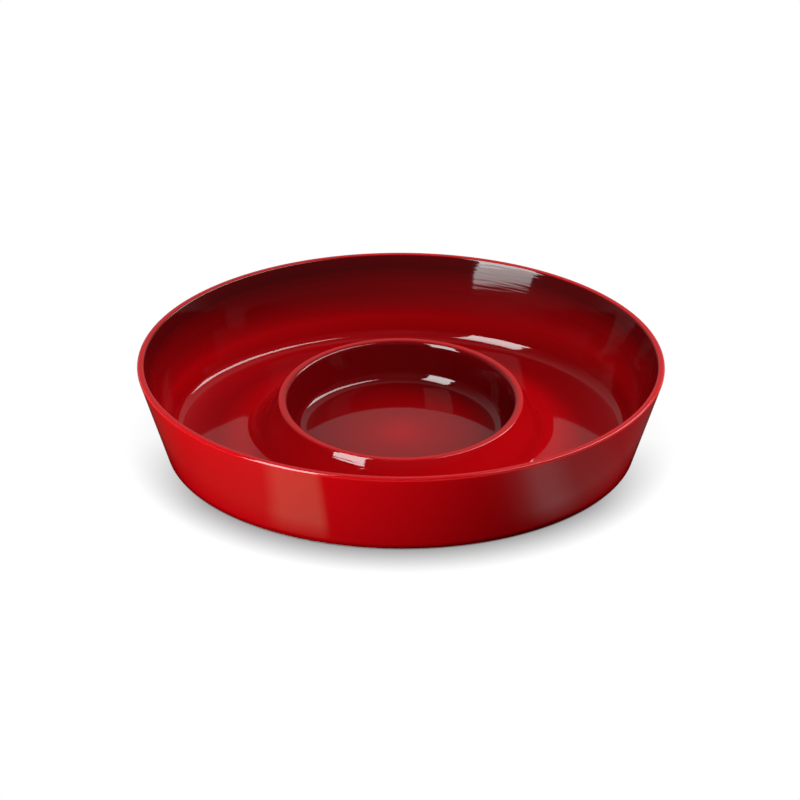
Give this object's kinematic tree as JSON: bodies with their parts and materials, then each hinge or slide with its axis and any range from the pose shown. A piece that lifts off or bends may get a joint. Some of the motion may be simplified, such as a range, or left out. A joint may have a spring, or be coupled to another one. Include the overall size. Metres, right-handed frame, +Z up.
{
  "type": "chip and dip server",
  "caption": "Oval glazed stoneware serving dish with an outward-leaning wall, a ring-shaped channel for chips and a flared round dip bowl rising from the middle of its floor.",
  "frame": {"origin": "on the table, under the middle of the dish", "axes": "+Z up, +X along the long side of the oval, -Y towards the viewer of the picture"},
  "size_m": [0.33, 0.289, 0.0601],
  "materials": {
    "stoneware_body": "bare fired clay, matt, fine-grained",
    "glaze_coat": "glossy fired glass, red, deeper and browner where it thins on the inner wall below the rim",
    "underside_glaze": "glossy fired glass, red"
  },
  "bodies": {
    "root": {"stoneware_body": "stoneware_body", "glaze_coat": "glaze_coat", "underside_glaze": "underside_glaze"}
  },
  "joints": []
}
